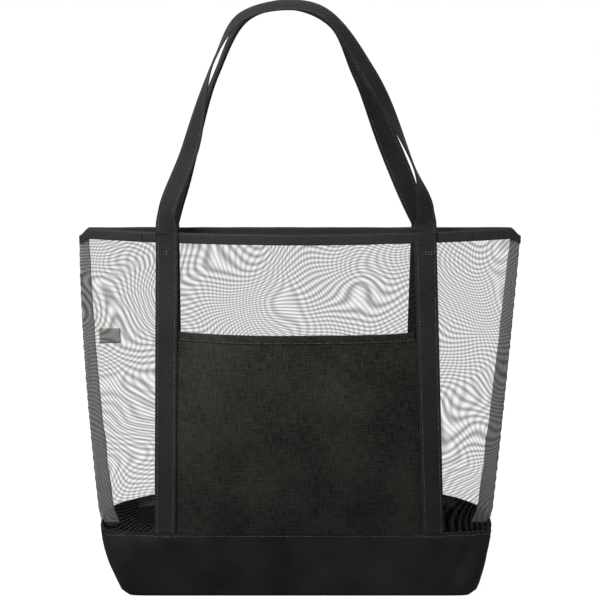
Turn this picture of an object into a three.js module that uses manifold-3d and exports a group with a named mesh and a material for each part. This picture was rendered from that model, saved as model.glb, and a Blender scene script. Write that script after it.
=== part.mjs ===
// A see-through mesh boat tote: a boxed woven base, front and back mesh panels, a bound
// rim, a front pocket and two strap handles. Millimetres, +Z up, front facing -Y, with the
// origin on the floor under the middle of the base.

import * as THREE from 'three';
import { mergeVertices } from 'three/addons/utils/BufferGeometryUtils.js';
import Module from 'manifold-3d';

const wasm = await Module();
wasm.setup();

// ---- Driving dimensions ----

const baseWidth = 410;          // across the boxed bottom
const baseDepth = 132;          // front to back of the boxed bottom
const bandHeight = 76;          // how far the woven base comes up the panels
const bandWidth = 476;          // across the bag at the top of the woven base
const bandDroop = 11;           // how much lower the base's top edge is at the side seams
const rimWidth = 508;           // across the mouth, seam to seam
const rimHeight = 420;          // floor to the middle of the rim
const rimDepth = 44;            // front to back of the mouth at rest
const rimLift = 4;              // how much higher the rim is at the side seams
const bindingHeight = 11.5;     // tape folded over the rim
const strapWidth = 26;
const strapThickness = 2.2;
const frontStrapTop = 147;      // middle of the bag to the middle of a strap, at the rim
const frontStrapFoot = 156;     // the same at the base
const backStrapTop = 148;
const backStrapFoot = 150;
const pocketHeight = 232;       // base to the pocket's mouth
const pocketBulge = 11;         // how far the pocket's mouth stands off the mesh
const pocketTuck = 9;           // how far the pocket's sides run under the straps
const clothThickness = 1.2;
const meshThickness = 1;
const seamStripTop = 12;        // width of the side seam's allowance at the rim
const seamStripFoot = 19;       // the same at the base
const allowanceHeight = 16;     // mesh turned down inside the back of the base
const tackBelowRim = 21;        // rim to the row of stitches that locks a strap
const tackHeight = 2;
const tackThickness = 0.6;
const labelWidth = 25;
const labelHeight = 18;
const labelMiddle = 295;        // floor to the middle of the label
const labelThickness = 0.8;

// ---- Clearances and layers ----

const gap = 0.3;                // between any two touching pieces
const seamHalf = 0.5 + gap + meshThickness;         // side seam to the outer face of the mesh
const strapInner = gap + clothThickness + gap;      // the straps pass over the pocket's edges
const strapOuter = strapInner + strapThickness;
const bindingInner = -(seamHalf - gap);
const bindingOuter = strapInner - gap;

// Free lengths of the two handles: across and above the rim, with the strap's turn in
// degrees from facing forwards, at each foot, each bend and the ends of the straighter runs.
const frontRoute = [
  [-147, 0, 0], [-147, 6, -6], [-147, 26, -36], [-124, 94, -40], [-95, 195, -86],
  [-62, 243, -69], [20, 249, -65], [77, 178, -48], [128, 77, -86], [146, 26, -40],
  [147, 6, -8], [147, 0, 0],
];
const backRoute = [
  [-148, 0, 0], [-148, 6, 0], [-139, 38, -30], [-95, 176, -76], [-60, 240, -72],
  [-10, 254, -66], [36, 234, -69], [67, 176, -56], [114, 70, -6], [136, 26, -26],
  [148, 6, 0], [148, 0, 0],
];
const handleGap = 13.2;         // middle plane to a handle's centre line at the top

// ---- The form of the bag ----

const { lerp, smoothstep, degToRad } = THREE.MathUtils;

// Share of the way from the base's top edge to the rim, below zero inside the base.
function panelShare(z) {
  return (z - bandHeight) / (rimHeight - bandHeight);
}

function halfWidth(z) {
  if (z < bandHeight) {
    return lerp(baseWidth, bandWidth, Math.max(z / bandHeight, 0) ** 0.85) / 2;
  }
  const share = Math.min(panelShare(z), 1);
  return lerp(bandWidth, rimWidth, 1 - (1 - share) ** 1.6) / 2;
}

function halfDepth(z) {
  const share = THREE.MathUtils.clamp(panelShare(z), 0, 1);
  return lerp(baseDepth, rimDepth, share) / 2 - seamHalf;
}

// Half the depth of the cloth at a share of the half width: a box at the floor, soft
// corners at the base's top edge, a pointed oval at the rim.
function clothDepth(share, z) {
  const height = THREE.MathUtils.clamp(z / bandHeight, 0, 1);
  const above = THREE.MathUtils.clamp(panelShare(z), 0, 1);
  const flatness = z < bandHeight ? lerp(16, 4, height ** 0.6) : lerp(4, 2, above);
  const bluntness = z < bandHeight ? lerp(5, 1.25, height ** 0.6) : lerp(1.25, 1, above);
  const fullness = Math.max(1 - Math.abs(share) ** flatness, 0) ** (1 / bluntness);
  return seamHalf + halfDepth(z) * fullness;
}

function bandTop(share) {
  return bandHeight - bandDroop * Math.abs(share) ** 5;
}

function rimTop(share) {
  return rimHeight + rimLift * share ** 2;
}

const rimShare = (x) => x / (rimWidth / 2);
const bandShare = (x) => x / (bandWidth / 2);

// A point on the cloth: side is -1 in front and 1 behind, out is measured outwards.
function clothPoint(side, x, z, out) {
  return new THREE.Vector3(x, side * (clothDepth(x / halfWidth(z), z) + out), z);
}

// ---- Solids ----

// A box whose corners and divisions are moved to where place says: u runs from -1 to 1
// across, v from 0 to 1 up, and w from 0 inside to 1 outside.
function slab(columns, rows, place) {
  const geometry = new THREE.BoxGeometry(2, 1, 1, columns, rows, 1);
  const position = geometry.attributes.position;
  for (let i = 0; i < position.count; i += 1) {
    const point = place(position.getX(i), position.getY(i) + 0.5, position.getZ(i) + 0.5);
    position.setXYZ(i, point.x, point.y, point.z);
  }
  geometry.deleteAttribute('uv');
  geometry.deleteAttribute('normal');
  const merged = mergeVertices(geometry, 1e-4);
  merged.computeVertexNormals();
  return merged;
}

function toManifold(geometry) {
  const bare = geometry.clone();
  bare.deleteAttribute('normal');
  const merged = mergeVertices(bare, 1e-4);
  return new wasm.Manifold(new wasm.Mesh({
    numProp: 3,
    vertProperties: new Float32Array(merged.attributes.position.array),
    triVerts: new Uint32Array(merged.index.array),
  }));
}

function fromManifold(solid) {
  const mesh = solid.getMesh();
  const geometry = new THREE.BufferGeometry();
  geometry.setAttribute('position', new THREE.BufferAttribute(mesh.vertProperties, 3));
  geometry.setIndex(new THREE.BufferAttribute(mesh.triVerts, 1));
  geometry.computeVertexNormals();
  return geometry;
}

// Cloth that runs from seam to seam, between two heights given by share of the half width.
function panelSlab(side, [columns, rows], low, high, inner, outer) {
  return slab(columns, rows, (u, v, w) => {
    const share = -side * Math.sin((u * Math.PI) / 2);
    const z = lerp(low(share), high(share), v);
    return clothPoint(side, share * halfWidth(z), z, lerp(inner, outer, w));
  });
}

// ---- Woven base ----

// The base as a block, shrunk by inset and open above when it is the space inside.
function baseBlock(inset, rise) {
  return slab(36, 7, (u, v, w) => {
    const share = Math.sin((u * Math.PI) / 2);
    const z = lerp(inset, bandTop(share) + rise, v);
    const x = share * (halfWidth(z) - inset);
    const depth = clothDepth(x / halfWidth(z), z) + clothThickness - inset;
    return new THREE.Vector3(x, lerp(depth, -depth, w), z);
  });
}

function basePanel() {
  const outside = toManifold(baseBlock(0, 0));
  const inside = toManifold(baseBlock(clothThickness, bandHeight / 8));
  return fromManifold(outside.subtract(inside));
}

// Mesh turned down inside the base's top edge, behind the woven cloth.
function baseAllowance(side) {
  const reach = bandWidth / 2 - 2 * seamStripFoot;
  return slab(16, 1, (u, v, w) => {
    const x = -side * u * reach;
    const z = bandTop(bandShare(x)) - lerp(allowanceHeight, 1, v);
    return clothPoint(side, x, z, -2 * gap - lerp(meshThickness, 0, w));
  });
}

// ---- Side seams and label ----

const stripFoot = bandTop(1) + gap;
const stripHead = rimTop(1) - bindingHeight - gap;

// How far out from the middle the seam's allowance begins.
function stripEdge(z) {
  return halfWidth(z) - lerp(seamStripFoot, seamStripTop, (z - stripFoot) / (stripHead - stripFoot));
}

function seamStrip(side) {
  const half = seamHalf - gap - meshThickness;
  return slab(1, 10, (u, v, w) => {
    const z = lerp(stripFoot, stripHead, v);
    const x = lerp(stripEdge(z), halfWidth(z), side * u / 2 + 0.5);
    return new THREE.Vector3(side * x, lerp(half, -half, w), z);
  });
}

// The label hangs from the left seam's allowance, in the middle plane.
function careLabel() {
  const labelEnds = [labelMiddle - labelHeight / 2, labelMiddle + labelHeight / 2];
  const fold = Math.min(...labelEnds.map(stripEdge)) - 2 * gap;
  const geometry = new THREE.BoxGeometry(labelWidth, labelThickness, labelHeight);
  geometry.translate(-fold + labelWidth / 2, 0, labelMiddle);
  return geometry;
}

// ---- Panels, binding and pocket ----

function meshPanel(side) {
  const low = (share) => bandTop(share) + gap;
  const high = (share) => rimTop(share) - bindingHeight - gap;
  return panelSlab(side, [24, 8], low, high, -meshThickness, 0);
}

function rimBinding(side) {
  const low = (share) => rimTop(share) - bindingHeight;
  return panelSlab(side, [24, 1], low, rimTop, bindingInner, bindingOuter);
}

// The middle of a strap sewn on a panel, from the base up to the rim.
function strapMiddle(top, foot, z) {
  return lerp(foot, top, panelShare(z));
}

// The pocket stands off between the straps, and its last column on each side is tucked
// flat under a strap.
function pocket() {
  const columns = 14;
  const open = 1 - 2 / columns;
  const top = bandHeight + pocketHeight;
  return slab(columns, 8, (u, v, w) => {
    const low = bandTop(bandShare(u * frontStrapFoot)) + gap;
    const z = lerp(low, top, v);
    const mouth = strapMiddle(frontStrapTop, frontStrapFoot, z) - strapWidth / 2 - gap;
    const across = Math.min(Math.abs(u) / open, 1);
    const tuck = Math.max(Math.abs(u) - open, 0) / (1 - open) * (pocketTuck + gap);
    const x = Math.sign(u) * (across * mouth + tuck);
    const rise = pocketBulge * (1 - across ** 3) * v ** 0.7;
    return clothPoint(-1, x, z, gap + rise + lerp(0, clothThickness, w));
  });
}

function sewnStrap(side, hand, top, foot) {
  return slab(2, 12, (u, v, w) => {
    const low = bandTop(bandShare(foot)) + gap;
    const high = rimTop(rimShare(top)) - gap;
    const z = lerp(low, high, v);
    const x = hand * strapMiddle(top, foot, z) - side * u * (strapWidth / 2);
    return clothPoint(side, x, z, lerp(strapInner, strapOuter, w));
  });
}

function tack(side, hand, top, foot) {
  const reach = strapWidth / 2 - 2;
  const base = rimHeight - tackBelowRim;
  return slab(1, 1, (u, v, w) => {
    const z = base + v * tackHeight;
    const x = hand * strapMiddle(top, foot, z) - side * u * reach;
    return clothPoint(side, x, z, strapOuter + gap + w * tackThickness);
  });
}

// ---- Handles ----

// A strap swept along a route. Its width starts across the bag and turns about the route.
function handle(side, route, top) {
  const foot = rimTop(rimShare(top)) + gap;
  const footDepth = clothDepth(rimShare(top), rimHeight) + (strapInner + strapOuter) / 2;
  const points = route.map(([x, rise]) => {
    const lean = smoothstep(rise, strapWidth / 2, rimDepth * 3);
    return new THREE.Vector3(x, side * lerp(footDepth, handleGap, lean), foot + rise);
  });
  const curve = new THREE.CatmullRomCurve3(points, false, 'centripetal');
  const turns = route.map(([, , degrees]) => degToRad(degrees));
  const across = new THREE.Vector3(0, -side, 0);
  return slab(88, 4, (u, v, w) => {
    const share = (u + 1) / 2;
    const middle = curve.getPoint(share);
    const along = curve.getTangent(share);
    const place = share * (turns.length - 1);
    const first = Math.min(Math.floor(place), turns.length - 2);
    const turn = lerp(turns[first], turns[first + 1], smoothstep(place - first, 0, 1));
    const flat = new THREE.Vector3().crossVectors(across, along).normalize();
    const width = flat.multiplyScalar(Math.cos(turn)).addScaledVector(across, Math.sin(turn));
    const through = new THREE.Vector3().crossVectors(along, width).normalize();
    return middle
      .addScaledVector(width, lerp(-0.5, 0.5, v) * strapWidth)
      .addScaledVector(through, lerp(-0.5, 0.5, w) * strapThickness);
  });
}

// ---- Materials and assembly ----

const finish = {
  woven: { color: 0x23221f, roughness: 0.9, metalness: 0 },
  net: { color: 0x3c3b39, roughness: 0.8, metalness: 0 },
  tape: { color: 0x2b2a26, roughness: 0.85, metalness: 0 },
  strap: { color: 0x302e2d, roughness: 0.85, metalness: 0 },
  thread: { color: 0x3a3838, roughness: 0.7, metalness: 0 },
  label: { color: 0x8a8780, roughness: 0.8, metalness: 0 },
};

const beachBag = new THREE.Group();

function add(name, geometry, look) {
  const mesh = new THREE.Mesh(geometry, new THREE.MeshStandardMaterial(finish[look]));
  mesh.name = name;
  beachBag.add(mesh);
}

const sides = [
  { name: 'front', side: -1, top: frontStrapTop, foot: frontStrapFoot, route: frontRoute },
  { name: 'back', side: 1, top: backStrapTop, foot: backStrapFoot, route: backRoute },
];
const hands = [
  { name: 'left', hand: -1 },
  { name: 'right', hand: 1 },
];

add('base_panel', basePanel(), 'woven');
for (const { name, hand } of hands) {
  add(`side_seam_${name}`, seamStrip(hand), 'net');
}
add('care_label', careLabel(), 'label');
add('front_pocket', pocket(), 'woven');
for (const { name, side, top, foot, route } of sides) {
  add(`${name}_base_allowance`, baseAllowance(side), 'net');
  add(`${name}_mesh_panel`, meshPanel(side), 'net');
  add(`${name}_rim_binding`, rimBinding(side), 'tape');
  for (const { name: handName, hand } of hands) {
    add(`${name}_strap_${handName}`, sewnStrap(side, hand, top, foot), 'strap');
    add(`${name}_tack_${handName}`, tack(side, hand, top, foot), 'thread');
  }
  add(`${name}_handle`, handle(side, route, top), 'strap');
}

export default beachBag;
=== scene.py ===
import math
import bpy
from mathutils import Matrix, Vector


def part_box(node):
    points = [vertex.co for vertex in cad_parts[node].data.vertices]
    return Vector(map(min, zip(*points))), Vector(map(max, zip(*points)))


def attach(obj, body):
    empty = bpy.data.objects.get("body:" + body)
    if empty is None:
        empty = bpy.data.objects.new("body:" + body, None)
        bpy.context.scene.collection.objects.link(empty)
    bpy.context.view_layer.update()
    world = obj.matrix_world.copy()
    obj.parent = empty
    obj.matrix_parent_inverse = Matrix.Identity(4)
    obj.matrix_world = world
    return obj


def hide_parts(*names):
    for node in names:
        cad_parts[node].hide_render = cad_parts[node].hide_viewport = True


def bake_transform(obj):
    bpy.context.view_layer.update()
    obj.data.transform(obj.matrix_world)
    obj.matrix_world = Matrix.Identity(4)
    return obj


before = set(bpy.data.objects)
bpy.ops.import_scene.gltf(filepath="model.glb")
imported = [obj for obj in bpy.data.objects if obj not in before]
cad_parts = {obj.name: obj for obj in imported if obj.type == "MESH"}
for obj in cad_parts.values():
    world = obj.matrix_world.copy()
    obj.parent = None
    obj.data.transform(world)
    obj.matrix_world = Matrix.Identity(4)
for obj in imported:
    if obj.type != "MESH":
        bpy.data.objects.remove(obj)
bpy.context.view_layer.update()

from types import SimpleNamespace

import bmesh
import bpy
from bpy.props import FloatProperty, FloatVectorProperty, PointerProperty
from mathutils import Matrix, Vector, noise

bl_info = {
    "name": "Net Beach Bag",
    "version": (1, 0, 0),
    "blender": (4, 5, 0),
    "location": "View3D > Sidebar > Beach Bag",
    "description": "Builds a see-through net tote with a woven base, a pocket and two strap handles",
    "category": "Object",
}

MM = 0.001
FRONT, BACK = -1, 1
SIDE_NAME = {FRONT: "front", BACK: "back"}
LEFT, RIGHT = -1, 1
HAND_NAME = {LEFT: "left", RIGHT: "right"}


# ---- Sizes and colours ----


def linear(hex_colour):
    """An sRGB hex colour as the linear red, green and blue that a shader takes."""
    parts = [int(hex_colour[i:i + 2], 16) / 255 for i in (0, 2, 4)]
    return [c / 12.92 if c <= 0.04045 else ((c + 0.055) / 1.055) ** 2.4 for c in parts]


def length(name, description, default):
    return FloatProperty(
        name=name, description=description, default=default, unit="LENGTH", subtype="DISTANCE"
    )


def colour(name, description, hex_colour):
    return FloatVectorProperty(
        name=name, description=description, default=linear(hex_colour),
        size=3, min=0, max=1, subtype="COLOR",
    )


base_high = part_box("base_panel")[1]
rim_low, rim_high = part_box("front_rim_binding")
pocket_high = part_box("front_pocket")[1]
label_low, label_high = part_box("care_label")


class BeachBagSizes(bpy.types.PropertyGroup):
    """Sizes of the bag, in metres."""

    base_width: length("Base width", "Across the boxed bottom, at the floor", 410 * MM)
    base_depth: length("Base depth", "Front to back of the boxed bottom", 132 * MM)
    band_height: length("Band height", "How far the woven base comes up the sides", base_high.z)
    band_width: length("Band width", "Across the bag at the height of the band's top edge", 476 * MM)
    band_droop: length("Band droop", "How much lower the band's top edge is at the seams", 11 * MM)
    rim_width: length("Rim width", "Across the mouth, seam to seam", rim_high.x - rim_low.x)
    rim_lift: length("Rim lift", "How much higher the rim is at the seams", 4 * MM)
    rim_height: length("Rim height", "Floor to the middle of the rim", rim_high.z - 4 * MM)
    rim_depth: length("Rim depth", "Front to back of the mouth", 44 * MM)
    binding_height: length("Binding height", "Height of the tape folded over the rim", 11.5 * MM)
    strap_width: length("Strap width", "Width of a strap", 26 * MM)
    strap_thickness: length("Strap thickness", "Thickness of a folded strap", 2.2 * MM)
    front_strap_top: length("Front strap top", "Middle to a front strap, at the rim", 147 * MM)
    front_strap_foot: length("Front strap foot", "Middle to a front strap, at the base", 156 * MM)
    back_strap_top: length("Back strap top", "Middle to a back strap, at the rim", 148 * MM)
    back_strap_foot: length("Back strap foot", "Middle to a back strap, at the base", 150 * MM)
    handle_gap: length("Handle gap", "Middle plane to the top of a handle", 13.2 * MM)
    pocket_top: length("Pocket top", "Floor to the pocket's mouth", pocket_high.z)
    pocket_bulge: length("Pocket bulge", "How far the pocket's mouth stands off the net", 11 * MM)
    pocket_hem: length("Pocket hem", "Depth of the hem at the pocket's mouth", 9.5 * MM)
    cloth_thickness: length("Cloth thickness", "Thickness of the woven cloth", 1.2 * MM)
    seam_strip_top: length("Seam strip top", "Width of the side seam's allowance at the rim", 12 * MM)
    seam_strip_foot: length("Seam strip foot", "Width of the side seam's allowance at the base", 19 * MM)
    allowance_height: length("Allowance height", "Net turned down inside the band", 16 * MM)
    stitch_length: length("Stitch length", "Length of one visible stitch", 2.6 * MM)
    stitch_pitch: length("Stitch pitch", "From one stitch to the next", 3.4 * MM)
    tack_below_rim: length("Tack below rim", "Rim to the stitches that lock a strap", 20 * MM)
    net_beat: length("Net beat", "Between the curved bands where the two nets' threads beat", 6 * MM)


class BeachBagColours(bpy.types.PropertyGroup):
    """Colours of the bag's cloths and threads."""

    woven: colour("Woven cloth", "Base and pocket", "0F0E0C")
    net: colour("Net", "Threads of the see-through panels", "151515")
    seam: colour("Layered net", "The net where seams lay it in several layers", "5E5D5C")
    tape: colour("Binding tape", "Tape folded over the rim", "100F0E")
    strap: colour("Strap", "Straps and handles", "11100F")
    thread: colour("Thread", "Stitches", "272626")
    label: colour("Label", "Care label", "67655F")


def sizes():
    return bpy.context.scene.beach_bag_sizes


def colours():
    return bpy.context.scene.beach_bag_colours


# ---- The form of the bag ----


def lerp(a, b, share):
    return a + (b - a) * share


def clamp(x):
    return min(max(x, 0.0), 1.0)


def smooth(x):
    x = clamp(x)
    return x * x * (3 - 2 * x)


class BagForm:
    """Where the bag's cloth lies, worked out from the sizes."""

    layer = 0.3 * MM         # clearance between two cloths that touch
    net_thickness = 1.0 * MM
    tip_drop = 9 * MM        # how far the binding turns down at the seams

    def __init__(self):
        given = sizes()
        self.size = SimpleNamespace(**{name: getattr(given, name) for name in given.__annotations__})
        self.seam_half = 0.5 * MM + self.layer + self.net_thickness
        self.strap_inner = self.layer + self.size.cloth_thickness + self.layer
        self.strap_middle = self.strap_inner + self.size.strap_thickness / 2
        self.strap_outer = self.strap_inner + self.size.strap_thickness

    def panel_share(self, z):
        return (z - self.size.band_height) / (self.size.rim_height - self.size.band_height)

    def half_width(self, z):
        s = self.size
        if z < s.band_height:
            return lerp(s.base_width, s.band_width, max(z / s.band_height, 0) ** 0.85) / 2
        share = min(self.panel_share(z), 1)
        return lerp(s.band_width, s.rim_width, 1 - (1 - share) ** 1.6) / 2

    def lean(self, z):
        """How far the side seams stand to the left of where a straight bag has them."""
        low = lerp(1.2, 5.2, smooth(z / self.size.band_height * 1.3))
        return MM * lerp(low, 0, clamp(self.panel_share(z)) ** 2.5)

    def strap_lean(self, side, z):
        """How far the straps on one side stand to the left, growing from the base to the rim."""
        foot, top = (0, 4.4) if side == FRONT else (8, 5.5)
        return MM * lerp(foot, top, clamp(self.panel_share(z)))

    def half_depth(self, z):
        depth = lerp(self.size.base_depth, self.size.rim_depth, clamp(self.panel_share(z)))
        return depth / 2 - self.seam_half

    def roundness(self, z):
        """The two powers of the bag's cross-section: a box at the floor, a pointed oval at the rim."""
        height = clamp(z / self.size.band_height)
        above = clamp(self.panel_share(z))
        if z < self.size.band_height:
            return lerp(30, 4, height ** 0.9), lerp(12, 1.25, height ** 0.9)
        return lerp(4, 2, above), lerp(1.25, 1, above)

    def cloth_depth(self, share, z):
        flatness, bluntness = self.roundness(z)
        fullness = max(1 - abs(share) ** flatness, 0) ** (1 / bluntness)
        return self.seam_half + self.half_depth(z) * fullness

    def band_top(self, share):
        return self.size.band_height - self.size.band_droop * abs(share) ** 5

    def rim_top(self, share):
        return self.size.rim_height + self.size.rim_lift * share ** 2

    def tip_share(self, share):
        """From 0 along most of the rim to 1 at its tips, where the binding narrows and turns down."""
        return smooth((abs(share) - 0.955) / 0.045)

    def band_top_at(self, x):
        return self.band_top(x / (self.size.band_width / 2))

    def rim_top_at(self, x):
        return self.rim_top(x / (self.size.rim_width / 2))

    def on_cloth(self, side, x, z, out=0.0):
        """A point on the front or back cloth, out metres proud of it."""
        share = x / self.half_width(z)
        return Vector((x - self.lean(z) * share ** 4, side * (self.cloth_depth(share, z) + out), z))

    def strap_x(self, side, z):
        s = self.size
        if side == FRONT:
            return lerp(s.front_strap_foot, s.front_strap_top, self.panel_share(z))
        return lerp(s.back_strap_foot, s.back_strap_top, self.panel_share(z))

    def strip_edge(self, z):
        """How far out from the middle the side seam's allowance begins."""
        foot = self.band_top(1)
        head = self.rim_top(1) - self.size.binding_height
        width = lerp(self.size.seam_strip_foot, self.size.seam_strip_top, clamp((z - foot) / (head - foot)))
        return self.half_width(z) - width


def ripple(x, z, coarse, height, seed):
    """A soft rise and fall of cloth: coarse is its size and height its amplitude, in metres."""
    return height * noise.noise(Vector((x / coarse, z / coarse, seed)))


# ---- Making pieces ----


def cloth_grid(columns, rows, width, height, place):
    """A grid of cloth with u from -1 to 1 across and v from 0 to 1 up.

    Its weave is on the UV map, in metres.
    """
    bm = bmesh.new()
    weave = bm.loops.layers.uv.new("weave")
    bmesh.ops.create_grid(bm, x_segments=columns, y_segments=rows, size=1)
    for face in bm.faces:
        for loop in face.loops:
            u, v = loop.vert.co.xy
            loop[weave].uv = (u * width / 2, (v + 1) * height / 2)
    for vert in bm.verts:
        vert.co = place(vert.co.x, (vert.co.y + 1) / 2)
    return bm


def box_weave(bm):
    """Lays the weave on the UV map from the three sides, in metres."""
    weave = bm.loops.layers.uv.verify()
    bm.normal_update()
    for face in bm.faces:
        normal = [abs(n) for n in face.normal]
        largest = normal.index(max(normal))
        for loop in face.loops:
            co = loop.vert.co
            loop[weave].uv = ((co.y, co.z), (co.x, co.z), (co.x, co.y))[largest]


def thicken(bm, thickness):
    """Gives cloth its thickness, inwards from the face that is seen."""
    bm.normal_update()
    bmesh.ops.solidify(bm, geom=bm.faces[:], thickness=thickness)


def make_piece(name, bm, material, shade_smooth=True):
    mesh = bpy.data.meshes.new(name)
    bm.to_mesh(mesh)
    bm.free()
    for polygon in mesh.polygons:
        polygon.use_smooth = shade_smooth
    piece = bpy.data.objects.new(name, mesh)
    bpy.context.scene.collection.objects.link(piece)
    mesh.materials.append(material)
    return piece


def fold_with_panel(piece):
    """Bakes the piece's place into its mesh."""
    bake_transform(piece)


def fold_at_rim(piece):
    """Bakes the piece's place into its mesh."""
    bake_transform(piece)


def sew(bm, points, outward, form, radius=0.42 * MM, gauge=None):
    """Adds a row of stitches along points. outward gives the cloth's direction at a point's number."""
    s = form.size
    pitch = gauge or s.stitch_pitch
    stitch = pitch * s.stitch_length / s.stitch_pitch
    walked, due = 0.0, pitch / 2
    for i in range(len(points) - 1):
        step = points[i + 1] - points[i]
        while walked + step.length >= due:
            middle = points[i] + step * ((due - walked) / step.length)
            along = step.normalized()
            out = outward(i)
            out = (out - along * out.dot(along)).normalized()
            turn = Matrix((out.cross(along), out, along)).transposed().to_4x4()
            form_of_stitch = Matrix.Diagonal((radius, radius * 0.7, stitch / 2, 1))
            place = Matrix.Translation(middle) @ turn @ form_of_stitch
            bmesh.ops.create_icosphere(bm, subdivisions=1, radius=1, matrix=place)
            due += pitch
        walked += step.length


def lock_stitches(bm, middle, across, along, form):
    """A short row of slanted stitches laid across a strap."""
    s = form.size
    count = 7
    out = across.cross(along).normalized()
    for i in range(count):
        place = middle + across * ((i + 0.5) / count - 0.5) * (s.strap_width - 3 * MM)
        for slant in (-1, 1):
            reach = (across * slant * 1.1 + along * 0.8).normalized() * s.stitch_length * 0.6
            sew(bm, [place - reach, place + reach], lambda _: out, form, gauge=s.stitch_length * 1.15)


# ---- Materials ----


def add_node(tree, kind, inputs=None, **settings):
    """Adds a node with its settings. An input is a number or another node's output, which is linked."""
    node = tree.nodes.new(kind)
    for name, value in settings.items():
        setattr(node, name, value)
    for key, value in (inputs or {}).items():
        if isinstance(value, bpy.types.NodeSocket):
            tree.links.new(value, node.inputs[key])
        else:
            node.inputs[key].default_value = value
    return node


def maths(tree, operation, *values):
    """The result of one sum on numbers or other nodes' outputs."""
    return add_node(tree, "ShaderNodeMath", dict(enumerate(values)), operation=operation).outputs[0]


def vector_maths(tree, operation, *values):
    """The result of one sum on vectors."""
    return add_node(tree, "ShaderNodeVectorMath", dict(enumerate(values)), operation=operation).outputs[0]


def remap(tree, value, was, to):
    """A value taken from the range was into the range to."""
    return add_node(
        tree, "ShaderNodeMapRange",
        {"Value": value, "From Min": was[0], "From Max": was[1], "To Min": to[0], "To Max": to[1]},
    ).outputs[0]


def tint(tree, shader, tone, share):
    """Gives the shader its tone, lightened or darkened by share."""
    scaled = add_node(tree, "ShaderNodeVectorMath", {0: tone, "Scale": share}, operation="SCALE")
    tree.links.new(scaled.outputs[0], shader.inputs["Base Color"])


def new_material(name, roughness, sheen, specular=0.06):
    """A cloth's material, with its principled shader. Returns the material, its tree and the shader."""
    material = bpy.data.materials.new(name)
    material.use_nodes = True
    tree = material.node_tree
    shader = tree.nodes["Principled BSDF"]
    shader.inputs["Roughness"].default_value = roughness
    shader.inputs["Specular IOR Level"].default_value = specular
    shader.inputs["Sheen Weight"].default_value = sheen
    shader.inputs["Sheen Roughness"].default_value = 0.5
    return material, tree, shader


def thread_wave(tree, place, axis, pitch, distortion=0.0):
    """Light and dark across threads that lie pitch apart, with a little wander."""
    per_metre = 2 * math.pi / 20 / pitch      # a wave texture has one band in 2 pi / 20 at scale 1
    return add_node(
        tree, "ShaderNodeTexWave",
        {"Vector": place, "Scale": per_metre, "Distortion": distortion, "Detail": 1.0, "Detail Scale": 0.3},
        bands_direction=axis, wave_type="BANDS", wave_profile="SIN",
    ).outputs["Fac"]


def stretched_noise(tree, place, along, across, detail=2.0):
    """Slubs and streaks: noise drawn out to along by across metres."""
    drawn = add_node(tree, "ShaderNodeMapping", {"Vector": place, "Scale": (1 / along, 1 / across, 1)})
    return add_node(
        tree, "ShaderNodeTexNoise", {"Vector": drawn.outputs[0], "Scale": 1.0, "Detail": detail}
    ).outputs["Fac"]


def woven_look(tree, shader, tone, weave_pitch, streak, contrast, bump, painted_top_light=(0.85, 1.25)):
    """Colour and bump of a plain weave: crossing threads, slubs both ways and slow colour change.

    The last argument is painted light: how much darker the cloth is drawn at the floor, as painted shade, and
    how much lighter at the rim, as painted light from above, beside its own tone.
    """
    place = add_node(tree, "ShaderNodeUVMap", uv_map="weave").outputs[0]
    around = add_node(tree, "ShaderNodeTexCoord").outputs["Object"]
    warp = thread_wave(tree, place, "X", weave_pitch, 1.5)
    weft = thread_wave(tree, place, "Y", weave_pitch, 1.5)
    weave = maths(tree, "MULTIPLY", warp, weft)
    lying = stretched_noise(tree, place, streak, weave_pitch * 0.8)
    standing = stretched_noise(tree, place, weave_pitch * 0.8, streak)
    slubs = maths(tree, "ADD", lying, standing)
    slow = add_node(tree, "ShaderNodeTexNoise", {"Vector": around, "Scale": 14.0, "Detail": 2.0})
    sum_slow = maths(tree, "ADD", slow.outputs["Fac"], slubs)
    # the three noises together swing about 1.5; the weave's own check is laid on top
    check = maths(tree, "MULTIPLY_ADD", weave, 0.45, sum_slow)
    share = remap(tree, check, (1.2, 2.0), (1 - contrast, 1 + contrast))
    # painted light: the cloth is drawn lighter the higher it stands, for light from above, and darker towards
    # the floor, for shade
    above = add_node(tree, "ShaderNodeSeparateXYZ", {0: around}).outputs["Z"]
    painted_light_share = remap(tree, above, (0.05, 0.32), painted_top_light)
    tint(tree, shader, tone, maths(tree, "MULTIPLY", share, painted_light_share))
    height = maths(tree, "MULTIPLY_ADD", slubs, 0.7, weave)
    raised = add_node(tree, "ShaderNodeBump", {"Height": height, "Distance": bump, "Strength": 0.6})
    tree.links.new(raised.outputs[0], shader.inputs["Normal"])


def woven_polyester():
    """Plain-woven coated polyester: matt and near black, with slubs that catch the light."""
    material, tree, shader = new_material("woven_polyester_matt", roughness=0.8, sheen=0.0)
    # real threads are 0.5 mm apart; drawn at 2 mm so that the weave shows
    # painted light: the pocket and base are drawn nearly twice as light at the rim as at the floor
    woven_look(
        tree, shader, colours().woven, weave_pitch=2 * MM, streak=12 * MM, contrast=0.9, bump=0.8 * MM,
        painted_top_light=(0.95, 1.9),
    )
    return material


def strap_polyester():
    """Folded polyester strap: a closer weave than the base, a little lighter and smoother."""
    material, tree, shader = new_material("woven_polyester_strap", roughness=0.7, sheen=0.01)
    woven_look(
        tree, shader, colours().strap, weave_pitch=1.8 * MM, streak=9 * MM, contrast=0.4, bump=0.35 * MM
    )
    return material


def binding_tape():
    """Bias-cut polyester tape: soft, slightly lighter than the base, with fine slubs along it."""
    material, tree, shader = new_material(
        "polyester_binding_tape", roughness=0.65, sheen=0.02, specular=0.12
    )
    woven_look(
        tree, shader, colours().tape, weave_pitch=1.6 * MM, streak=12 * MM, contrast=0.45, bump=0.3 * MM
    )
    return material


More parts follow.
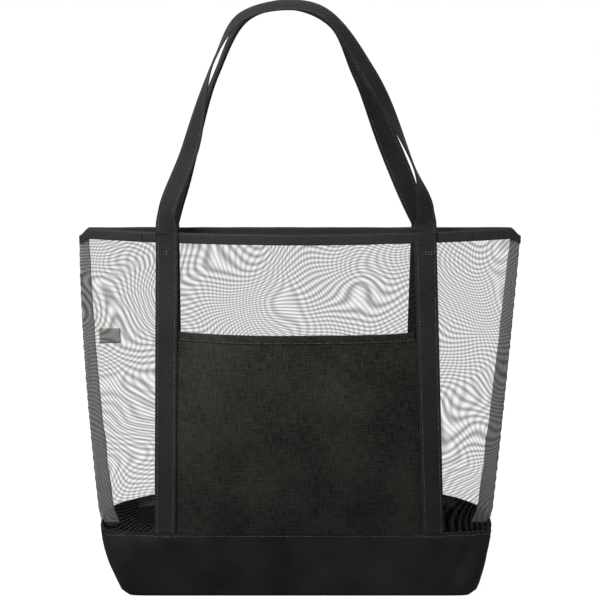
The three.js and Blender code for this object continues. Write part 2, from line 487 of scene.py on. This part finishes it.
def sewing_thread():
    """Twisted polyester thread: a faint gloss, and painted glints, where odd stitches are drawn up to three
    times lighter.
    """
    material, tree, shader = new_material("polyester_thread_twisted", roughness=0.5, sheen=0.1)
    around = add_node(tree, "ShaderNodeTexCoord").outputs["Object"]
    painted_glints = add_node(tree, "ShaderNodeTexNoise", {"Vector": around, "Scale": 260.0, "Detail": 1.0})
    # painted highlights: the noise draws some stitches much lighter, as glints along the rows
    share = remap(tree, painted_glints.outputs["Fac"], (0.35, 0.75), (0.5, 3.2))
    tint(tree, shader, colours().thread, share)
    return material


def satin_label():
    """Slit satin ribbon: pale grey, with a soft sheen across its width."""
    material, tree, shader = new_material("polyester_satin_ribbon", roughness=0.45, sheen=0.2)
    place = add_node(tree, "ShaderNodeUVMap", uv_map="weave").outputs[0]
    ribs = thread_wave(tree, place, "Y", 1.2 * MM, 0.6)
    tint(tree, shader, colours().label, remap(tree, ribs, (0, 1), (0.75, 1.1)))
    return material


def polyester_net(name, beat_axis, seed, pitch, wander, cover):
    """Plain-woven monofilament net: dark hair-fine threads with square holes between them.

    The two panels' threads beat together in curved bands a few millimetres apart. Each panel
    holds one family of those bands, on beat_axis, over its own fine weave. The bands lie pitch
    apart and wander by up to wander metres. cover is the share of light that a band stops.
    """
    material, tree, shader = new_material(name, roughness=0.6, sheen=0.0)
    place = add_node(tree, "ShaderNodeUVMap", uv_map="weave").outputs[0]
    shift = (seed, seed * 0.37, 0)
    shifted = add_node(tree, "ShaderNodeMapping", {"Vector": place, "Location": shift}).outputs[0]
    drift = add_node(
        tree, "ShaderNodeTexNoise", {"Vector": shifted, "Scale": 8.0, "Detail": 1.2, "Roughness": 0.35}
    ).outputs["Color"]
    centred = vector_maths(tree, "SUBTRACT", drift, (0.5, 0.5, 0.5))
    moved = vector_maths(tree, "MULTIPLY_ADD", centred, (wander * 2,) * 3, place)
    # real threads are 0.6 mm apart; the weave is drawn at 2.6 mm so that it shows
    families = [
        (thread_wave(tree, moved, beat_axis, pitch), 1.3, cover),
        (thread_wave(tree, place, "X", 2.6 * MM, 0.8), 1.0, 0.06),
        (thread_wave(tree, place, "Y", 2.9 * MM, 0.8), 1.0, 0.06),
    ]
    clear = None
    for threads, sharpness, stopped in families:
        hole = remap(tree, maths(tree, "POWER", threads, sharpness), (0, 1), (1, 1 - stopped))
        clear = hole if clear is None else maths(tree, "MULTIPLY", clear, hole)
    hidden = maths(tree, "SUBTRACT", 1.0, clear)
    tree.links.new(hidden, shader.inputs["Alpha"])
    shader.inputs["Base Color"].default_value = (*colours().net, 1)
    return material


def doubled_net():
    """The same net in three layers at a seam: grey and nearly closed, with its weave still showing."""
    material, tree, shader = new_material("polyester_net_layered", roughness=0.7, sheen=0.0)
    place = add_node(tree, "ShaderNodeUVMap", uv_map="weave").outputs[0]
    warp = thread_wave(tree, place, "X", 2.2 * MM, 2.0)
    weft = thread_wave(tree, place, "Y", 2.2 * MM, 2.0)
    flecks = stretched_noise(tree, place, 3 * MM, 3 * MM)
    mixed = maths(tree, "ADD", maths(tree, "MULTIPLY", warp, weft), flecks)
    cover = remap(tree, mixed, (0.2, 1.3), (0.99, 0.72))
    tree.links.new(cover, shader.inputs["Alpha"])
    shader.inputs["Base Color"].default_value = (*colours().seam, 1)
    return material


MATERIALS = {}


def cloth(name):
    """The named material, made once."""
    beat = sizes().net_beat
    makers = {
        "woven": woven_polyester,
        "strap": strap_polyester,
        "tape": binding_tape,
        "thread": sewing_thread,
        "label": satin_label,
        "seam": doubled_net,
        "front_net": lambda: polyester_net("polyester_net_front", "Y", 1.7, beat, 130 * MM, 0.57),
        "back_net": lambda: polyester_net("polyester_net_back", "X", 4.2, beat * 1.1, 110 * MM, 0.33),
    }
    if name not in MATERIALS:
        MATERIALS[name] = makers[name]()
    return MATERIALS[name]


# ---- Base ----


def ring_radius(u, v, flatness, bluntness):
    """How far along (u, v) the rounded outline lies, when the square's edge is at 1."""
    low, high = 0.5, 1.0
    for _ in range(24):
        middle = (low + high) / 2
        if (middle * abs(u)) ** flatness + (middle * abs(v)) ** bluntness < 1:
            low = middle
        else:
            high = middle
    return high


def base_point(form, u, v, z_share):
    """A point of the base's outer face. (u, v) lies on the edge of a square seen from above."""
    s = form.size
    z = s.band_height * z_share
    for _ in range(2):
        flatness, bluntness = form.roundness(z)
        reach = ring_radius(u, v, flatness, bluntness)
        share = u * reach
        z = form.band_top(share) * z_share
    depth = form.half_depth(z) * abs(v) * reach + (form.seam_half + s.cloth_thickness) * min(abs(v) * 6, 1)
    x = share * form.half_width(z) - form.lean(z) * share ** 4
    return Vector((x, math.copysign(depth, v), z))


def base_folds(form, point):
    """How far the band's cloth stands in or out: soft ripples, and a crease down each corner."""
    s = form.size
    x, z = abs(point.x), point.z
    up = clamp(z / s.band_height)
    away = smooth(up * 5) * smooth((1 - up) * 4 + 0.25)
    crease_x = lerp(166, 214, up) * MM
    valley = math.exp(-((x - crease_x) / (9 * MM)) ** 2)
    ridge = 0.7 * math.exp(-((x - crease_x - 15 * MM) / (11 * MM)) ** 2)
    crease = valley - ridge
    soft = ripple(point.x, z, 55 * MM, 1.1 * MM, 2.0 + 9 * (point.y > 0))
    soft += ripple(point.x, z, 22 * MM, 0.4 * MM, 7.0)
    belly = 4 * MM * (1 - up) ** 1.5
    over_straps = math.exp(-((x - s.front_strap_foot) / (12 * MM)) ** 6)
    raised = 3.6 * MM * over_straps * smooth((up - 0.82) / 0.12)
    return away * (soft - 3.4 * MM * crease * smooth(1.4 - abs(up - 0.5) * 2)) + belly + raised


def folded(form, point):
    """The point moved in or out with the band's folds."""
    s = form.size
    out = Vector((point.x / (s.band_width / 2), point.y / (s.base_depth / 2), 0)).normalized()
    return point + out * base_folds(form, point)


class BEACHBAG_OT_base(bpy.types.Operator):
    """Woven base: a boxed bottom whose cloth comes up the front and back as a band"""

    bl_idname = "beach_bag.base"
    bl_label = "Woven Base"

    def execute(self, context):
        form = BagForm()
        s = form.size
        bm = bmesh.new()
        bmesh.ops.create_grid(bm, x_segments=72, y_segments=16, size=1)
        square = {vert: (vert.co.x, vert.co.y) for vert in bm.verts}
        rows = 18
        edge = [e for e in bm.edges if e.is_boundary]
        level = {vert: 0.0 for vert in bm.verts}
        for row in range(1, rows + 1):
            grown = bmesh.ops.extrude_edge_only(bm, edges=edge)["geom"]
            new_verts = [g for g in grown if isinstance(g, bmesh.types.BMVert)]
            for vert in new_verts:
                square[vert] = (vert.co.x, vert.co.y)
                level[vert] = row / rows
            edge = [g for g in grown if isinstance(g, bmesh.types.BMEdge) and g.is_boundary]
            edge = [e for e in edge if all(level[v] == row / rows for v in e.verts)]
        for vert in bm.verts:
            u, v = square[vert]
            rim = max(abs(u), abs(v), 1e-6)
            point = base_point(form, u / rim, v / rim, level[vert])
            if level[vert] == 0:
                point = Vector((point.x * rim, point.y * rim, 0))
                point.y *= 1 + 3.6 * MM / (s.base_depth / 2)
            else:
                point = folded(form, point)
            vert.co = point
        bmesh.ops.recalc_face_normals(bm, faces=bm.faces[:])
        box_weave(bm)
        thicken(bm, s.cloth_thickness)
        shell = make_piece("base_shell", bm, cloth("woven"))
        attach(shell, "base")
        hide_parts("base_panel")
        for side in (FRONT, BACK):
            self.add_allowance(form, side)
        self.add_stitches(form)
        return {"FINISHED"}

    def add_allowance(self, form, side):
        """The net's raw edge, turned down inside the band."""
        s = form.size
        reach = s.band_width / 2 - 2 * s.seam_strip_foot

        def place(u, v):
            x = -side * u * reach
            wave = ripple(x, 0, 18 * MM, 1.6 * MM, side * 3.0)
            z = form.band_top_at(x) - lerp(s.allowance_height + 3 * MM + wave, 3.5 * MM, v)
            return form.on_cloth(side, x, z, -1.4 * MM - 1.2 * MM * (1 - v))

        bm = cloth_grid(90, 4, 2 * reach, s.allowance_height, place)
        thicken(bm, 0.5 * MM)
        name = SIDE_NAME[side]
        piece = make_piece(f"{name}_allowance", bm, cloth("seam"))
        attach(piece, "base")
        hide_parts(f"{name}_base_allowance")

    def add_stitches(self, form):
        """The row that closes the band's top edge on the net."""
        s = form.size
        bm = bmesh.new()
        for side in (FRONT, BACK):
            points = []
            for i in range(121):
                x = lerp(-0.94, 0.94, i / 120) * s.band_width / 2
                z = form.band_top_at(x) - 3 * MM
                points.append(folded(form, form.on_cloth(side, x, z, s.cloth_thickness + 0.15 * MM)))
            sew(bm, points, lambda _, y=side: Vector((0, y, 0)), form)
        piece = make_piece("base_stitches", bm, cloth("thread"))
        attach(piece, "base")


# ---- Net panels, side seams and label ----


class BEACHBAG_OT_net(bpy.types.Operator):
    """Front and back net panels, from inside the band up into the rim's binding"""

    bl_idname = "beach_bag.net"
    bl_label = "Net Panels"

    def execute(self, context):
        form = BagForm()
        s = form.size
        for side in (FRONT, BACK):

            def place(u, v):
                share = -side * math.sin(u * math.pi / 2)
                low = form.band_top(share) - 6 * MM
                high = form.rim_top(share) - 4 * MM - form.tip_drop * form.tip_share(share)
                z = lerp(low, high, v)
                x = share * form.half_width(z)
                slack = smooth((1 - abs(u)) * 4) * smooth(v * 5) * smooth((1 - v) * 6)
                loose = slack * ripple(x, z, 70 * MM, 1.2 * MM, side * 5.0)
                return form.on_cloth(side, x, z, -0.5 * MM + loose)

            tall = s.rim_height - s.band_height + 2 * MM
            bm = cloth_grid(72, 44, s.rim_width, tall, place)
            self.straighten_weave(bm)
            name = SIDE_NAME[side]
            piece = make_piece(f"{name}_net", bm, cloth(f"{name}_net"))
            fold_with_panel(piece)
            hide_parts(f"{name}_mesh_panel")
        return {"FINISHED"}

    def straighten_weave(self, bm):
        """The net's threads run straight up and across, whatever the panel's outline."""
        weave = bm.loops.layers.uv.verify()
        for face in bm.faces:
            for loop in face.loops:
                loop[weave].uv = (loop.vert.co.x, loop.vert.co.z)


class BEACHBAG_OT_side_seams(bpy.types.Operator):
    """Seam allowances down both sides, with their overlocked edges, and the care label"""

    bl_idname = "beach_bag.side_seams"
    bl_label = "Side Seams and Label"

    def execute(self, context):
        form = BagForm()
        for hand in (LEFT, RIGHT):
            self.add_strip(form, hand)
        self.add_label()
        return {"FINISHED"}

    def add_strip(self, form, hand):
        s = form.size
        foot = form.band_top(1) - 5 * MM
        head = form.rim_top(1) - 13 * MM

        def place(u, v):
            z = lerp(foot, head, v)
            across = (u + 1) / 2
            bump = 1.1 * MM * abs(math.sin(math.pi * z / (12.5 * MM))) + ripple(z, 0, 7 * MM, 0.5 * MM, 3.0)
            inner = form.strip_edge(z) + ripple(z, 0, 30 * MM, 1.2 * MM, 5.0)
            outer = form.half_width(z) - 0.8 * MM + bump
            x = lerp(inner, outer, across) if hand == RIGHT else lerp(outer, inner, across)
            wave = ripple(x, z, 25 * MM, 0.9 * MM, 8.0) * (1 - abs(u))
            return Vector((hand * x - form.lean(z), wave - 0.4 * MM, z))

        wide = (s.seam_strip_top + s.seam_strip_foot) / 2
        bm = cloth_grid(6, 140, wide, head - foot, place)
        thicken(bm, -0.8 * MM)
        name = HAND_NAME[hand]
        piece = make_piece(f"seam_strip_{name}", bm, cloth("seam"))
        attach(piece, "base")
        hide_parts(f"side_seam_{name}")

        stitches = bmesh.new()
        for inset, gauge in ((0.6 * MM, 2.6 * MM), (5.5 * MM, 3.4 * MM)):
            points = [
                Vector((hand * (form.half_width(z) - inset) - form.lean(z), -0.9 * MM, z))
                for z in (lerp(foot + 4 * MM, head - 6 * MM, i / 60) for i in range(61))
            ]
            sew(stitches, points, lambda _: Vector((0, -1, 0)), form, gauge=gauge)
        rows = make_piece(f"seam_stitches_{name}", stitches, cloth("thread"))
        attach(rows, "base")

    def add_label(self):
        """A satin ribbon folded double and caught in the left seam."""
        wide = label_high.x - label_low.x
        tall = label_high.z - label_low.z
        centre = (label_low + label_high) / 2

        def place(u, v):
            # u runs from one raw end, round the fold and back to the other
            fold = 1 - abs(u)
            x = centre.x - wide / 2 + fold * wide
            open_by = 0.45 * MM * math.sin(math.pi * min(fold, 0.5))
            curl = 0.6 * MM * math.sin(fold * 2.4)
            return Vector((x, (open_by if u > 0 else -open_by) + curl - 0.3 * MM, label_low.z + v * tall))

        bm = cloth_grid(24, 6, 2 * wide, tall, place)
        thicken(bm, 0.25 * MM)
        piece = make_piece("care_label_ribbon", bm, cloth("label"))
        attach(piece, "label")
        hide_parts("care_label")


# ---- Rim binding ----


class BEACHBAG_OT_binding(bpy.types.Operator):
    """Tape folded over the rim, front and back, with its stitches and overlapped joins"""

    bl_idname = "beach_bag.binding"
    bl_label = "Rim Binding"

    def execute(self, context):
        form = BagForm()
        for side in (FRONT, BACK):
            self.add_tape(form, side)
            self.add_joins(form, side)
        return {"FINISHED"}

    def wrap(self, form, side, x, around, proud=0.0):
        """A point on the folded tape: around runs from -1, low inside, over 0, the top, to 1, low outside."""
        s = form.size
        half = 1.25 * MM + proud
        share = x / (s.rim_width / 2)
        top = form.rim_top(share) - 0.2 * MM + ripple(x, 0, 40 * MM, 0.5 * MM, side * 2.0)
        tip = form.tip_share(share)
        top -= form.tip_drop * tip
        straight = s.binding_height - half - 3 * MM * tip
        bend = 0.24
        if abs(around) < bend:
            angle = around / bend * math.pi / 2
            out, z = half * math.sin(angle), top - half + half * math.cos(angle)
        else:
            out = math.copysign(half, around)
            z = top - half - (abs(around) - bend) / (1 - bend) * straight
        pucker = 0.18 * MM * math.sin(x / (3.4 * MM) * 2 * math.pi) * clamp(abs(around) * 2 - 1)
        # the cloth beneath keeps the depth that it has at the rim, so the fold doesn't lean
        depth = form.cloth_depth(min(abs(share), 1), s.rim_height - s.binding_height / 2)
        return Vector((x, side * (depth + out + pucker - 0.3 * MM), z))

    def add_tape(self, form, side):
        s = form.size

        def place(u, v):
            share = -side * math.sin(u * math.pi / 2)
            return self.wrap(form, side, share * s.rim_width / 2, v * 2 - 1)

        bm = cloth_grid(150, 18, s.rim_width, 2 * s.binding_height + 4 * MM, place)
        bmesh.ops.recalc_face_normals(bm, faces=bm.faces[:])
        if sum(f.normal.y * side for f in bm.faces if f.calc_center_median().z < s.rim_height - 6 * MM) < 0:
            bmesh.ops.reverse_faces(bm, faces=bm.faces[:])
        thicken(bm, 0.6 * MM)
        name = SIDE_NAME[side]
        piece = make_piece(f"{name}_binding", bm, cloth("tape"))
        fold_with_panel(piece)
        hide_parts(f"{name}_rim_binding")

        stitches = bmesh.new()
        for around in (0.8, -0.8):
            xs = [lerp(-0.955, 0.955, i / 160) * s.rim_width / 2 for i in range(161)]
            points = [self.wrap(form, side, x, around, 0.15 * MM) for x in xs]
            facing = side if around > 0 else -side
            sew(stitches, points, lambda _, y=facing: Vector((0, y, 0)), form)
        rows = make_piece(f"{name}_binding_stitches", stitches, cloth("thread"))
        fold_with_panel(rows)

    def add_joins(self, form, side):
        """A short wrap of tape where one end of the binding laps over the other."""
        s = form.size
        for hand, middle in ((LEFT, 184 * MM), (RIGHT, 191 * MM)):

            def place(u, v):
                slant = (v - 0.5) * 5 * MM
                x = hand * (middle + slant + u * 5.5 * MM)
                return self.wrap(form, side, x, v * 1.98 - 0.99, 0.75 * MM)

            bm = cloth_grid(5, 18, 11 * MM, 2 * s.binding_height, place)
            bmesh.ops.recalc_face_normals(bm, faces=bm.faces[:])
            low = [f for f in bm.faces if f.calc_center_median().z < s.rim_height - 6 * MM]
            outer = max(low, key=lambda f: f.calc_center_median().y * side)
            if outer.normal.y * side < 0:
                bmesh.ops.reverse_faces(bm, faces=bm.faces[:])
            thicken(bm, 0.5 * MM)
            name = f"{SIDE_NAME[side]}_binding_join_{HAND_NAME[hand]}"
            piece = make_piece(name, bm, cloth("tape"))
            fold_with_panel(piece)


# ---- Pocket ----


class BEACHBAG_OT_pocket(bpy.types.Operator):
    """Front pocket: woven cloth between the straps, with a turned hem at its mouth"""

    bl_idname = "beach_bag.pocket"
    bl_label = "Front Pocket"

    def execute(self, context):
        form = BagForm()
        s = form.size
        half_strap = s.strap_width / 2
        tuck = 9 * MM

        def surface(u, z, proud=0.0):
            """u runs from -1 to 1 across the pocket; the last tenth on each side is tucked flat."""
            flat_part = 0.06
            across = min(abs(u) / (1 - flat_part), 1)
            mouth = form.strap_x(FRONT, z) - half_strap - 0.3 * MM
            under = max(abs(u) - (1 - flat_part), 0) / flat_part * tuck
            x = math.copysign(across * mouth + under, u) - form.strap_lean(FRONT, z)
            up = clamp((z - s.band_height) / (s.pocket_top - s.band_height))
            rise = s.pocket_bulge * (1 - across ** 3) * up ** 0.7
            loose = smooth((1 - across) * 6) * smooth(up * 4)
            soft = ripple(x, z, 75 * MM, 1.8 * MM, 1.0) + ripple(x, z, 30 * MM, 0.5 * MM, 4.0)
            return form.on_cloth(FRONT, x, z, 0.3 * MM + rise + loose * soft + proud)

        def outer(u, v):
            low = form.band_top_at(u * s.front_strap_foot) - 3 * MM
            return surface(u, lerp(low, s.pocket_top, v), s.cloth_thickness - 0.2 * MM)

        bm = cloth_grid(84, 60, 2 * s.front_strap_foot - s.strap_width, s.pocket_top - s.band_height, outer)
        thicken(bm, 0.9 * MM)
        piece = make_piece("pocket", bm, cloth("woven"))
        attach(piece, "front_panel")
        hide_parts("front_pocket")
        hem = self.add_hem(form, surface)
        self.add_stitches(form, surface)
        return {"FINISHED"}

    def add_hem(self, form, surface):
        """The cloth turned over at the mouth, a little proud, with a rolled edge."""
        s = form.size

        def place(u, v):
            u = u * 0.935
            # v goes up the outer face, over the mouth's edge and a short way down inside
            over = clamp((v - 0.72) / 0.14)
            z = s.pocket_top - s.pocket_hem + clamp(v / 0.72) * s.pocket_hem
            z += 0.7 * MM * math.sin(over * math.pi) - 4 * MM * clamp((v - 0.86) / 0.14)
            puff = 0.35 * MM * math.sin(clamp(v / 0.72) * math.pi)
            proud = lerp(1.45 * MM + puff, -0.5 * MM, smooth(over))
            return surface(u, z, proud) if z <= s.pocket_top else surface(u, s.pocket_top, proud) + Vector(
                (0, 0, z - s.pocket_top)
            )

        bm = cloth_grid(84, 14, 2 * s.front_strap_foot, 2 * s.pocket_hem, place)
        thicken(bm, 0.5 * MM)
        hem = make_piece("pocket_hem", bm, cloth("woven"))
        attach(hem, "front_panel")
        return hem

    def add_stitches(self, form, surface):
        s = form.size
        bm = bmesh.new()
        z = s.pocket_top - s.pocket_hem + 1.6 * MM
        points = [surface(lerp(-0.93, 0.93, i / 100), z, 1.75 * MM) for i in range(101)]
        sew(bm, points, lambda _: Vector((0, -1, 0)), form)
        rows = make_piece("pocket_stitches", bm, cloth("thread"))
        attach(rows, "front_panel")


# ---- Straps and handles ----

LEG_STEPS = 60                   # places along each sewn leg
LOOP_STEPS = 150                 # places along a handle's free loop
EDGE_ROW = 9.6 * MM              # a strap's middle to the stitches along its edges

# Each handle's free length: millimetres across and above the rim, with the strap's turn in
# degrees from facing forwards, at each foot, each bend and the ends of the straighter runs.
HANDLE_ROUTE = {
    FRONT: [
        (-147, 0, 0), (-147, 6, -6), (-147, 26, -36), (-124, 94, -40), (-95, 195, -86),
        (-62, 243, -69), (20, 249, -65), (77, 178, -48), (128, 77, -86), (146, 26, -40),
        (147, 6, -8), (147, 0, 0),
    ],
    BACK: [
        (-148, 0, 0), (-148, 6, 0), (-139, 38, -30), (-95, 176, -76), (-60, 240, -72),
        (-10, 254, -66), (36, 234, -69), (67, 176, -56), (114, 70, -6), (136, 26, -26),
        (148, 6, 0), (148, 0, 0),
    ],
}


def through_points(points, share):
    """A point and direction on the smooth curve through points, whose knots are the root of each span."""
    last = len(points) - 1
    place = min(share * last, last - 1e-6)
    i = int(place)
    t = place - i
    p1, p2 = points[i], points[i + 1]
    p0 = points[i - 1] if i > 0 else p1 * 2 - p2
    p3 = points[i + 2] if i + 2 <= last else p2 * 2 - p1
    spans = [max((b - a).length, 1e-6) ** 0.5 for a, b in ((p0, p1), (p1, p2), (p2, p3))]
    start = ((p1 - p0) / spans[0] - (p2 - p0) / (spans[0] + spans[1]) + (p2 - p1) / spans[1]) * spans[1]
    end = ((p2 - p1) / spans[1] - (p3 - p1) / (spans[1] + spans[2]) + (p3 - p2) / spans[2]) * spans[1]
    square, cube = t * t, t * t * t
    point = p1 * (2 * cube - 3 * square + 1) + start * (cube - 2 * square + t) \
        + p2 * (3 * square - 2 * cube) + end * (cube - square)
    along = p1 * (6 * square - 6 * t) + start * (3 * square - 4 * t + 1) \
        + p2 * (6 * t - 6 * square) + end * (3 * square - 2 * t)
    return point, along.normalized()


def handle_frames(form, side, count):
    """Places along a handle: its middle, the direction of its width, and its outward face."""
    s = form.size
    route = HANDLE_ROUTE[side]
    x_foot = s.front_strap_top if side == FRONT else s.back_strap_top
    foot = form.rim_top_at(x_foot) + form.layer
    foot_depth = form.cloth_depth(x_foot / (s.rim_width / 2), s.rim_height) + form.strap_middle
    points = []
    for x, rise in ((across * MM, up * MM) for across, up, _ in route):
        lean = smooth((rise - s.strap_width / 2) / (s.rim_depth * 3 - s.strap_width / 2))
        aside = form.strap_lean(side, s.rim_height) * smooth(1 - rise / (90 * MM))
        points.append(Vector((x - aside, side * lerp(foot_depth, s.handle_gap, lean), foot + rise)))
    across = Vector((0, -side, 0))
    frames = []
    for i in range(count + 1):
        share = i / count
        middle, along = through_points(points, share)
        place = share * (len(route) - 1)
        first = min(int(place), len(route) - 2)
        turn = math.radians(lerp(route[first][2], route[first + 1][2], smooth(place - first)))
        width = across.cross(along).normalized() * math.cos(turn) + across * math.sin(turn)
        frames.append((middle, width, width.cross(along).normalized()))
    return frames


def leg_frames(form, side, hand, count):
    """Places down a strap sewn on a panel, from just under the rim to the band."""
    foot_x = form.strap_x(side, form.size.band_height)
    low = form.band_top_at(foot_x) - 5 * MM
    high = form.rim_top_at(form.strap_x(side, form.size.rim_height)) - 1 * MM
    frames = []
    for i in range(count):
        z = lerp(high, low, i / (count - 1))
        x = hand * form.strap_x(side, z) - form.strap_lean(side, z)
        tucked = 4.5 * MM * smooth((low + 7 * MM - z) / (9 * MM))
        middle = form.on_cloth(side, x, z, form.strap_middle - tucked)
        middle += Vector((0, side * ripple(x, z, 40 * MM, 0.5 * MM, 6.0 + hand), 0))
        near, far = (form.on_cloth(side, x + d, z, form.strap_middle) for d in (-6 * MM, 6 * MM))
        width = (far - near).normalized()
        frames.append((middle, width, Vector((0, side, 0))))
    return frames


class BEACHBAG_OT_straps(bpy.types.Operator):
    """Straps: each runs up from the band, over in a handle and down again, in one length"""

    bl_idname = "beach_bag.straps"
    bl_label = "Straps and Handles"

    def execute(self, context):
        form = BagForm()
        for side in (FRONT, BACK):
            frames = self.whole_strap(form, side)
            self.add_strap(form, side, frames)
            self.add_stitches(form, side, frames)
        return {"FINISHED"}

    def whole_strap(self, form, side):
        """Every place along the strap, with its width always turned the same way."""
        loop = handle_frames(form, side, LOOP_STEPS)
        left = leg_frames(form, side, LEFT, LEG_STEPS)[::-1]
        right = leg_frames(form, side, RIGHT, LEG_STEPS)
        frames = left + loop + right
        turned = [frames[0]]
        for middle, width, _ in frames[1:]:
            if width.dot(turned[-1][1]) < 0:
                width = -width
            along = middle - turned[-1][0]
            outward = width.cross(along).normalized()
            if outward.dot(turned[-1][2]) < 0:
                outward = -outward
            turned.append((middle, width, outward))
        return turned

    def section(self, form, turn):
        """A point round the strap's section: a folded strap, thinner where its edges are sewn."""
        s = form.size
        cos, sin = math.cos(turn), math.sin(turn)
        across = math.copysign(abs(cos) ** 0.4, cos) * s.strap_width / 2
        groove = math.exp(-((abs(across) - EDGE_ROW) / (1.0 * MM)) ** 2)
        belly = 1 - 0.3 * groove
        through = math.copysign(abs(sin) ** 0.55, sin) * s.strap_thickness / 2 * belly
        return across, through

    def add_strap(self, form, side, frames):
        lengths = [0.0]
        for before, after in zip(frames, frames[1:]):
            lengths.append(lengths[-1] + (after[0] - before[0]).length)
        bm = bmesh.new()
        weave = bm.loops.layers.uv.new("weave")
        ring_size = 36
        bmesh.ops.create_grid(bm, x_segments=ring_size, y_segments=len(frames) - 1, size=1)
        place_on_uv = {}
        for vert in bm.verts:
            turn = (vert.co.x + 1) * math.pi
            row = round((vert.co.y + 1) / 2 * (len(frames) - 1))
            middle, width, face = frames[row]
            across, through = self.section(form, turn)
            place_on_uv[vert] = (across, lengths[row])
            vert.co = middle + width * across + face * through
        for face in bm.faces:
            for loop in face.loops:
                loop[weave].uv = place_on_uv[loop.vert]
        bmesh.ops.remove_doubles(bm, verts=bm.verts[:], dist=0.01 * MM)
        bmesh.ops.holes_fill(bm, edges=[e for e in bm.edges if e.is_boundary], sides=0)
        bmesh.ops.recalc_face_normals(bm, faces=bm.faces[:])
        name = SIDE_NAME[side]
        piece = make_piece(f"{name}_strap", bm, cloth("strap"))
        fold_at_rim(piece)
        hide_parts(f"{name}_strap_left", f"{name}_strap_right", f"{name}_handle")

    def add_stitches(self, form, side, frames):
        s = form.size
        bm = bmesh.new()
        for edge in (-EDGE_ROW, EDGE_ROW):
            for face_side in (1, -1):
                lift = face_side * (s.strap_thickness / 2 * 0.72)
                points = [m + w * edge + f * lift for m, w, f in frames]
                # the inner face of a sewn leg lies on the net, so only its outer face shows stitches
                first, last = (0, len(points)) if face_side == 1 else (LEG_STEPS, len(points) - LEG_STEPS)
                kept = points[first:last]
                sew(bm, kept, lambda i, k=first, sign=face_side: frames[i + k][2] * sign, form)
        for hand in (LEFT, RIGHT):
            for below in (0, 2.6 * MM):
                z = s.rim_height - s.tack_below_rim - below
                x = hand * form.strap_x(side, z) - form.strap_lean(side, z)
                middle = form.on_cloth(side, x, z, form.strap_outer + 0.1 * MM)
                lock_stitches(bm, middle, Vector((1, 0, 0)), Vector((0, 0, -side)), form)
        name = SIDE_NAME[side]
        rows = make_piece(f"{name}_strap_stitches", bm, cloth("thread"))
        fold_at_rim(rows)
        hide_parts(f"{name}_tack_left", f"{name}_tack_right")


# ---- Stage ----


class BEACHBAG_OT_stage(bpy.types.Operator):
    """Pale floor, soft studio lights and the camera"""

    bl_idname = "beach_bag.stage"
    bl_label = "Stage"

    def execute(self, context):
        scene = context.scene
        scene.view_settings.view_transform = "Standard"
        self.add_floor(scene)
        self.add_world(scene)
        self.add_light("key_light", (-0.6, -0.75, 1.15), 0.5, 42)
        self.add_light("fill_light", (1.5, -1.5, 0.9), 1.4, 3)
        self.add_light("back_light", (0.2, 1.6, 1.5), 1.4, 10)
        self.add_camera(scene)
        return {"FINISHED"}

    def add_floor(self, scene):
        bm = bmesh.new()
        bmesh.ops.create_grid(bm, x_segments=1, y_segments=1, size=30)
        mesh = bpy.data.meshes.new("floor")
        bm.to_mesh(mesh)
        bm.free()
        floor = bpy.data.objects.new("floor", mesh)
        scene.collection.objects.link(floor)
        material, _, shader = new_material("paper_sweep_white", roughness=0.9, sheen=0.0, specular=0.0)
        shader.inputs["Base Color"].default_value = (0.06, 0.06, 0.06, 1)
        shader.inputs["Emission Color"].default_value = (1, 1, 1, 1)
        shader.inputs["Emission Strength"].default_value = 0.96
        mesh.materials.append(material)

    def add_world(self, scene):
        world = bpy.data.worlds.new("studio")
        world.use_nodes = True
        background = world.node_tree.nodes["Background"]
        background.inputs["Color"].default_value = (1, 1, 1, 1)
        background.inputs["Strength"].default_value = 1.0
        scene.world = world

    def add_light(self, name, place, size, power):
        light = bpy.data.lights.new(name, "AREA")
        light.size = size
        light.energy = power
        lamp = bpy.data.objects.new(name, light)
        lamp.location = place
        lamp.visible_camera = False
        lamp.rotation_euler = (Vector((0, 0, 0.3)) - Vector(place)).to_track_quat("-Z", "Y").to_euler()
        bpy.context.scene.collection.objects.link(lamp)

    def add_camera(self, scene):
        lens = bpy.data.cameras.new("camera")
        lens.sensor_width = 36
        lens.lens = 76.45
        lens.shift_y = -0.07
        camera = bpy.data.objects.new("camera", lens)
        camera.location = (0, -1.44, 0.705)
        camera.rotation_euler = (math.radians(90 - 12.4), 0, 0)
        scene.collection.objects.link(camera)
        scene.camera = camera


# ---- Add-on ----

OPERATORS = [
    BEACHBAG_OT_base,
    BEACHBAG_OT_net,
    BEACHBAG_OT_side_seams,
    BEACHBAG_OT_binding,
    BEACHBAG_OT_pocket,
    BEACHBAG_OT_straps,
    BEACHBAG_OT_stage,
]


class BEACHBAG_PT_panel(bpy.types.Panel):
    """Sizes, colours and the pieces of the bag"""

    bl_idname = "BEACHBAG_PT_panel"
    bl_label = "Beach Bag"
    bl_space_type = "VIEW_3D"
    bl_region_type = "UI"
    bl_category = "Beach Bag"

    def draw(self, context):
        for group in (context.scene.beach_bag_sizes, context.scene.beach_bag_colours):
            for name in group.__annotations__:
                self.layout.prop(group, name)
        for operator in OPERATORS:
            self.layout.operator(operator.bl_idname)


CLASSES = [BeachBagSizes, BeachBagColours, *OPERATORS, BEACHBAG_PT_panel]


def register():
    for item in CLASSES:
        bpy.utils.register_class(item)
    bpy.types.Scene.beach_bag_sizes = PointerProperty(type=BeachBagSizes)
    bpy.types.Scene.beach_bag_colours = PointerProperty(type=BeachBagColours)


def unregister():
    del bpy.types.Scene.beach_bag_colours
    del bpy.types.Scene.beach_bag_sizes
    for item in reversed(CLASSES):
        bpy.utils.unregister_class(item)


def main():
    register()
    bpy.ops.beach_bag.base()
    bpy.ops.beach_bag.net()
    bpy.ops.beach_bag.side_seams()
    bpy.ops.beach_bag.binding()
    bpy.ops.beach_bag.pocket()
    bpy.ops.beach_bag.straps()
    bpy.ops.beach_bag.stage()


if __name__ == "__main__":
    main()
